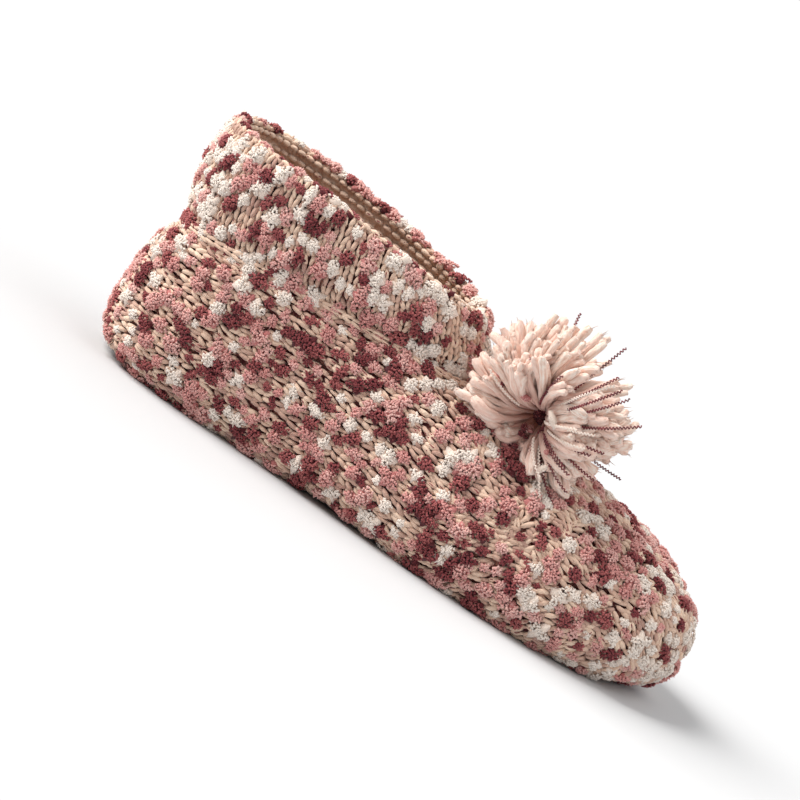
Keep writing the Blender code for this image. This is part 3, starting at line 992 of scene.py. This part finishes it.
def pileSpots(picked, rng, scale, lump, form):  # each slub's lump and the tufts on it
    k = slubs
    fewest, most = k["tufts"]
    rows = {label: [] for label in ("place", "along", "outward", "size", "number", "tone")}
    for place, along, outward in zip(picked["place"], picked["along"], picked["outward"]):
        axes = np.stack([along, np.cross(along, outward), outward])
        bulk, hue = rng.random(2)
        half = np.array([low + (high - low) * bulk for low, high in (k["length"], k["width"], k["height"])])
        stretch = rng.uniform(*k["stretch"])
        half *= math.sqrt(scale) * np.array((stretch, stretch**-0.5, 1.0))
        amount = round((fewest + (most - fewest) * bulk) * scale * math.sqrt(stretch))
        turn = np.arange(amount) * goldenTurn + rng.normal(0, k["turnNoise"], amount)
        away = np.sqrt((np.arange(amount) + 0.5) / amount)
        dome = np.column_stack([np.cos(turn) * away, np.sin(turn) * away, np.sqrt(1.05 - away**2)])
        wide, long = rng.uniform(0.8, 1.2, amount), rng.uniform(0.7, 1.25, amount)
        ways = unit(rng.normal(size=(amount, 3)))
        lean = rng.normal(0, k["lean"], (amount, 3))
        sizes = np.column_stack([wide * form[0], wide * form[0], long * form[1]]) * min(1, scale)
        rows["place"] += [place[None], place + (dome * half) @ axes]
        rows["along"] += [along[None], ways]
        rows["outward"] += [outward[None], unit((dome / half) @ axes + lean)]
        rows["size"] += [half[None] * lump, sizes]
        rows["number"] += [[k["kinds"]], rng.integers(0, k["kinds"], amount)]
        tones = 0.6 * hue + 0.2 * dome[:, 0] + 0.4 * rng.random(amount)
        # the lump's lower tone darkens it further under the tufts: painted shade
        rows["tone"] += [[0.4 * hue], np.clip(tones, 0, 1)]
    return {label: np.concatenate(values) for label, values in rows.items()}


def slubPieces(region, node, picked, rank, rng):  # a piece for each colour
    low = 0.0
    for label, share in zip(("burgundy", "pink", "white"), slubs["shares"][region]):
        chosen = (rank >= low) & (rank < low + share)
        low += share
        size, lump, form = (slubs[setting][label] for setting in ("scales", "lumps", "forms"))
        pile = pileSpots(takeSpots(picked, chosen), rng, slubs["sizes"][region] * size, lump, form)
        settle(scatterPiece(f"{region}_slubs_{label}", pileShapes, yarns[label], pile), node)
    print(region, "slubs", len(rank))


pileShapes = shapeSet("pile", pileParts())
slubPieces("foot", "knitted_foot", *slubSpots("foot", footSpots))
slubPieces("cuff", "knitted_cuff", *slubSpots("cuff", bandSpots))
slubPieces("rim", "knitted_cuff", *slubSpots("rim", chains["rim"]))


# The pompom: strands tied in the middle, which part on the near side and fall outwards in three lobes
pompom = dict(
    middle=(157.0, -20.0, 69.0), parting=(-0.16, -0.96, -0.23), rightWay=(0.833, 0.189, 0.520),
    strands=225, seed=61, inner=19.0, outer=30.0, spread=1.3, outerAngle=72.0, angleNoise=0.06, turnNoise=0.1,
    hollow=4.4, hollowEnds=(1.6, 2.5), hollowDepth=(5.0, -7.0), lean=0.5, bend=1.2, straight=2.4,
    lobes=3, lobeAt=100.0, lobePull=0.3, reachRight=0.1, reachUp=0.1,
    clumps=40, clumpSpread=2.2, clumpSwirl=0.5, clumpLean=0.18, swirl=0.26, innerSwirl=0.6,
    wave=1.4, waves=(0.5, 1.1), thick=(1.8, 2.8), sides=7, clear=2.7, leastAngle=0.5,
    plies=3, plyThick=0.6, plyGap=0.66, plyTwist=1.2, plySplay=0.55, plyEnds=(0.84, 1.0), plyStray=0.22,
    plyNoise=0.14, plyTip=0.68, core=5.2, coreDepth=4.0, coreSides=20,
    stations=(0, 0.14, 0.3, 0.46, 0.62, 0.76, 0.88, 0.96, 1.0),
    hairs=5, hairLength=(1.2, 2.8), hairThick=0.15, hairLean=0.35, hairRoot=(0.3, 0.9), hairSides=3,
)
pompomMiddle = np.array(pompom["middle"])
parting = unit(np.array(pompom["parting"]))
partRight = np.array(pompom["rightWay"])
partRight = unit(partRight - parting * (partRight @ parting))
partUp = np.cross(partRight, -parting)


def standOff(points, clear):  # lifts points that would sink into the sock
    points = points.copy()
    levels = np.linspace(4.0, rimLevel, 80)
    footEnds = ringNumbers(levels)[:, 2]
    seamFront = ringRows[int(seamLevel), 3]
    arc = np.linspace(-1.6, 1.6, 60)
    cuff = formPoint(levels[levels >= seamLevel][:, None], arc[None, :])
    cuffMiddle = cuff[:, len(arc) // 2, 2]
    for point in points:
        inRing = (footEnds > point[0]) & (levels <= seamLevel)
        if inRing.any():
            ring = formPoint(levels[inRing], angleAt(levels[inRing], point[0]))
            under = np.abs(ring[:, 1]) >= abs(point[1])
            if under.any():
                point[2] = max(point[2], ring[under, 2].max() + clear)
        if seamFront - clear < point[2] < cuffMiddle[-1]:  # in front of the cuff
            ring = cuff[np.argmin(np.abs(cuffMiddle - point[2]))]
            point[0] = max(point[0], np.interp(point[1], ring[:, 1], ring[:, 0]) + clear)
    return points


def fountain(angle, turn, length, swirl, share):  # a path out of the parting, and the way to its outer side
    k = pompom
    near, far = k["hollowDepth"]
    low, high = k["hollowEnds"]
    closed = smoothStep((angle - low) / (high - low))  # the hollow is on the near side only
    first = angle * (k["lean"] + (1 - k["lean"]) * closed)
    last = angle + k["bend"] * max(0, 1 - angle / k["straight"])
    lean = (first + (last - first) * share**1.2)[:, None]
    turned = (turn + swirl * share**1.4)[:, None]
    aside = np.cos(turned) * partRight + np.sin(turned) * partUp
    heading = np.cos(lean) * parting + np.sin(lean) * aside
    steps = (heading[1:] + heading[:-1]) / 2 * (np.diff(share) * length)[:, None]
    start = pompomMiddle + parting * (near + (far - near) * angle / math.pi)
    start = start + aside[0] * k["hollow"] * (1 - closed)
    path = start + np.concatenate([np.zeros((1, 3)), np.cumsum(steps, axis=0)])
    return path, np.sin(lean) * parting - np.cos(lean) * aside


def pompomReach(angle, turn):  # how long a strand is
    k = pompom
    full = np.clip(math.degrees(angle) / k["outerAngle"], 0, 1)
    reach = 1 + k["reachRight"] * math.cos(turn) + k["reachUp"] * math.sin(turn)
    return (k["inner"] + (k["outer"] - k["inner"]) * full) * reach


def pompomStrands():  # paths and thickness of each strand's plies
    k = pompom
    rng = np.random.default_rng(k["seed"])
    index = np.arange(k["strands"]) + 0.5
    angles = np.arccos(1 - 2 * index / k["strands"]) + rng.normal(0, k["angleNoise"], k["strands"])
    turns = index * math.pi * (1 + math.sqrt(5)) + rng.normal(0, k["turnNoise"], k["strands"])
    turns -= k["lobePull"] * np.sin(k["lobes"] * (turns - math.radians(k["lobeAt"])))  # drawn into lobes
    flat = np.sin(angles)
    ways = np.column_stack([np.cos(angles), flat * np.cos(turns), flat * np.sin(turns)])
    clumps = np.argmax(ways @ unit(rng.normal(size=(k["clumps"], 3))).T, axis=1)
    spreads = np.array((k["clumpSpread"], k["clumpSwirl"], k["clumpLean"]))
    longer, swirls, leans = rng.normal(0, 1, (3, k["clumps"])) * spreads[:, None]
    share = np.array(k["stations"])
    paths, radii = [], []
    for angle, turn, clump in zip(angles, turns, clumps):
        if angle < k["leastAngle"]:
            continue
        length = pompomReach(angle, turn) + longer[clump] * min(1, angle) + rng.uniform(-1, 1) * k["spread"]
        swirl = swirls[clump] + rng.normal(0, k["swirl"]) + rng.normal(0, k["innerSwirl"]) * max(0, 1 - angle)
        path, outer = fountain(max(k["leastAngle"], angle + leans[clump]), turn, length, swirl, share)
        phase, speed = rng.uniform(0, 2 * math.pi, 3), rng.uniform(*k["waves"], 3) * 2 * math.pi
        path += k["wave"] * np.sin(share[:, None] * speed + phase) * share[:, None]
        path = standOff(path, k["clear"])
        beside = unit(np.cross(np.gradient(path, axis=0), outer))
        thick = rng.uniform(*k["thick"])
        for ply in range(k["plies"]):
            wound = (ply * 2 * math.pi / k["plies"] + phase[0] + k["plyTwist"] * share)[:, None]
            gap = (thick * k["plyGap"] * (0.7 + 0.3 * share + k["plySplay"] * share**4))[:, None]
            strand = path + (np.cos(wound) * outer + np.sin(wound) * beside) * gap
            strand += rng.normal(0, k["plyStray"], strand.shape) * share[:, None]
            shorter = share * rng.uniform(*k["plyEnds"])
            paths.append(np.column_stack([np.interp(shorter, share, column) for column in strand.T]))
            swell = 0.62 + 0.38 * smoothStep(share * 1.7) + 0.12 * share**3
            swell *= 1 + rng.normal(0, k["plyNoise"], len(share))
            swell[-1] *= k["plyTip"]
            radii.append(thick * k["plyThick"] * swell)
    return paths, radii, rng


def pompomHairs(paths, radii, rng):  # loose fibres that stand off the strands
    k = pompom
    hairs, thin = [], []
    share = np.linspace(0, 1, 3)[:, None]
    for path, radius in zip(paths, radii):
        for _ in range(k["hairs"]):
            at = rng.integers(3, len(path))
            forward = unit(path[at] - path[at - 1])
            aside = unit(np.cross(forward, rng.normal(size=3)))
            length = rng.uniform(*k["hairLength"])
            start = path[at] + aside * radius[at] * rng.uniform(*k["hairRoot"])
            hairs.append(start + forward * length * share + aside * (length * k["hairLean"]) * share**2)
            thin.append(k["hairThick"] * np.array((1.0, 0.8, 0.3)))
    return hairs, thin


strandPaths, strandRadii, strandRng = pompomStrands()
tones = strandRng.random(len(strandPaths))
tuft = strandPiece("pompom_strands", strandPaths, strandRadii, tones, pompom["sides"], yarns["strand"])
settle(tuft, "yarn_pompom")
hairPaths, hairRadii = pompomHairs(strandPaths, strandRadii, strandRng)
tones = strandRng.random(len(hairPaths))
fuzz = strandPiece("pompom_fuzz", hairPaths, hairRadii, tones, pompom["hairSides"], yarns["strand"])
settle(fuzz, "yarn_pompom")

crimps = dict(
    pitch=1.2, swing=0.45, swirl=0.25, thick=0.29, sides=4,
    step=0.3, start=0.35, lift=2.2, clear=1.0, seed=71,
)
crimpedThreads = dict(  # degrees from the parting, degrees round from the right, and mm past the strands
    wine=(
        (62, 24, 14), (66, 31, 12), (70, 16, 11), (73, 4, 13), (58, -8, 3), (50, -20, 1), (64, -30, 2),
        (44, -42, 0), (56, -56, 2), (66, -70, 2), (48, -84, 1), (60, -100, 3), (52, 150, -2), (58, 196, -2),
        (46, 60, -2), (34, -30, 0), (110, 40, 3), (118, -40, 3), (130, 130, 2), (125, 80, 3),
    ),
    cream=((63, 34, 10), (30, 10, 1), (40, -14, 2), (26, -70, 1), (48, 4, 2), (36, 120, 1), (54, -64, 3)),
)


def crimpedPaths(threads, rng):  # zigzag threads that lie over the strands
    paths, radii = [], []
    for degrees, turned, past in threads:
        angle, turn = math.radians(degrees), math.radians(turned)
        length = pompomReach(angle, turn) + past
        share = np.linspace(crimps["start"], 1, round(length * (1 - crimps["start"]) / crimps["step"]))
        swirl = rng.normal(0, crimps["swirl"])
        path, outer = fountain(angle, turn, length, swirl, np.concatenate([[0], share]))
        path, outer = path[1:], outer[1:]
        aside = unit(np.cross(np.gradient(path, axis=0), outer))
        wave = crimps["swing"] * np.sin(share * length * 2 * math.pi / crimps["pitch"] + rng.uniform(0, 6))
        paths.append(standOff(path + outer * crimps["lift"] + aside * wave[:, None], crimps["clear"]))
        radii.append(np.full(len(share), crimps["thick"]))
    return paths, radii


threadRng = np.random.default_rng(crimps["seed"])
for label, tips in crimpedThreads.items():
    paths, radii = crimpedPaths(tips, threadRng)
    tones, yarn = np.zeros(len(paths)), yarns[f"{label}Thread"]
    settle(strandPiece(f"pompom_threads_{label}", paths, radii, tones, crimps["sides"], yarn), "yarn_pompom")

pompomSlubs = dict(
    amount=58, middle=9, middleSpread=0.95, angle=(0.2, 2.0), along=(0.15, 0.9), lift=0.8, clear=1.0, seed=83,
)


def pompomSlubSpots():  # scraps of slub caught between the strands
    k = pompomSlubs
    rng = np.random.default_rng(k["seed"])
    rows = []
    for _ in range(k["amount"]):
        angle, turn = rng.uniform(*k["angle"]), rng.uniform(0, 2 * math.pi)
        share = np.array((0, 0.3, 0.6, 1.0)) * rng.uniform(*k["along"])
        path, outer = fountain(angle, turn, pompomReach(angle, turn), 0.0, share)
        rows.append(np.concatenate([path[-1] + outer[-1] * k["lift"], path[-1] - path[-2], outer[-1]]))
    rows = np.array(rows)
    place = standOff(rows[:, :3], k["clear"])
    picked = dict(place=place, along=unit(rows[:, 3:6]), outward=unit(rows[:, 6:]))
    rank = rng.random(k["amount"])
    away = k["middleSpread"] * np.sqrt(np.arange(k["middle"]) / k["middle"])[:, None]
    turn = (np.arange(k["middle"]) * goldenTurn)[:, None]
    aside = np.cos(turn) * partRight + np.sin(turn) * partUp
    outward = np.cos(away) * parting + np.sin(away) * aside
    picked["place"][:k["middle"]] = pompomMiddle - parting * pompom["coreDepth"] + outward * pompom["core"]
    picked["along"][:k["middle"]] = np.cross(outward, aside)
    picked["outward"][:k["middle"]] = outward
    rank[:k["middle"]] = 0  # the first ones are dark pile over the tied middle
    return picked, rank, rng


slubPieces("pompom", "yarn_pompom", *pompomSlubSpots())
dropShapes(pileShapes)


def pompomCore():  # the tied middle, dark between the strands
    turn = np.linspace(0, math.pi, 14)
    path = -np.cos(turn)[:, None] * (0, 0, pompom["core"])
    path = path + pompomMiddle - parting * pompom["coreDepth"]
    radius = np.maximum(np.sin(turn) * pompom["core"], 0.05)
    return strandPiece("pompom_core", [path], [radius], [0.0], pompom["coreSides"], yarns["burgundy"])


settle(pompomCore(), "yarn_pompom")
print("pompom tied")


# Camera, floor and light
view = dict(
    target=(-0.0134, 0.0, 0.0418), azimuth=6.0, elevation=11.0, roll=32.0, distance=1.1,
    pixelsPerMetre=2750.0, sensor=36.0, frameWidth=800,
)


def viewWay():  # from the sock to the camera
    azimuth, elevation = math.radians(view["azimuth"]), math.radians(view["elevation"])
    level = math.cos(elevation)
    return Vector((math.sin(azimuth) * level, -math.cos(azimuth) * level, math.sin(elevation)))


camera = bpy.data.objects.new("camera", bpy.data.cameras.new("camera"))
scene.collection.objects.link(camera)
standing = Matrix.Translation(Vector(view["target"]) + viewWay() * view["distance"])
aimed = (-viewWay()).to_track_quat("-Z", "Y").to_matrix().to_4x4()
rolled = Matrix.Rotation(math.radians(view["roll"]), 4, "Z")
camera.matrix_world = standing @ (aimed @ rolled)
camera.data.sensor_width = view["sensor"]
camera.data.lens = view["sensor"] * view["distance"] * view["pixelsPerMetre"] / view["frameWidth"]
scene.camera = camera

studio = dict(
    floorSize=40.0, floorColour=(0.612, 0.625, 0.642, 1), worldStrength=0.28,
    lamps=(  # the way to it, spread in degrees, strength and colour
        ("key", (-0.82, -0.1, 0.74), 40.0, 4.8, (1.0, 0.97, 0.935)),
        ("fill", (0.6, -0.14, 0.77), 60.0, 1.3, (1.0, 0.98, 0.96)),
        ("back", (0.2, 0.8, 0.9), 40.0, 0.35, (1.0, 0.99, 0.98)),
    ),
)
corners = np.array([(-1, -1, 0), (1, -1, 0), (1, 1, 0), (-1, 1, 0)]) * studio["floorSize"] / 2
floor = meshObject("floor", corners, [(0, 1, 2, 3)])
floorFinish = finish("pale floor", roughness=0.9, sheen=0.0)
floorFinish.shader.inputs["Base Color"].default_value = studio["floorColour"]
floor.data.materials.append(floorFinish.material)
for label, way, spread, strength, colour in studio["lamps"]:
    lamp = bpy.data.objects.new(label, bpy.data.lights.new(label, "SUN"))
    lamp.data.angle, lamp.data.energy, lamp.data.color = math.radians(spread), strength, colour
    lamp.matrix_world = Vector(way).to_track_quat("Z", "Y").to_matrix().to_4x4()
    scene.collection.objects.link(lamp)
world = bpy.data.worlds.new("studio")
world.use_nodes = True
world.node_tree.nodes["Background"].inputs["Color"].default_value = (1, 1, 1, 1)
world.node_tree.nodes["Background"].inputs["Strength"].default_value = studio["worldStrength"]
scene.world = world
scene.view_settings.view_transform = "Standard"
print("camera and light set")
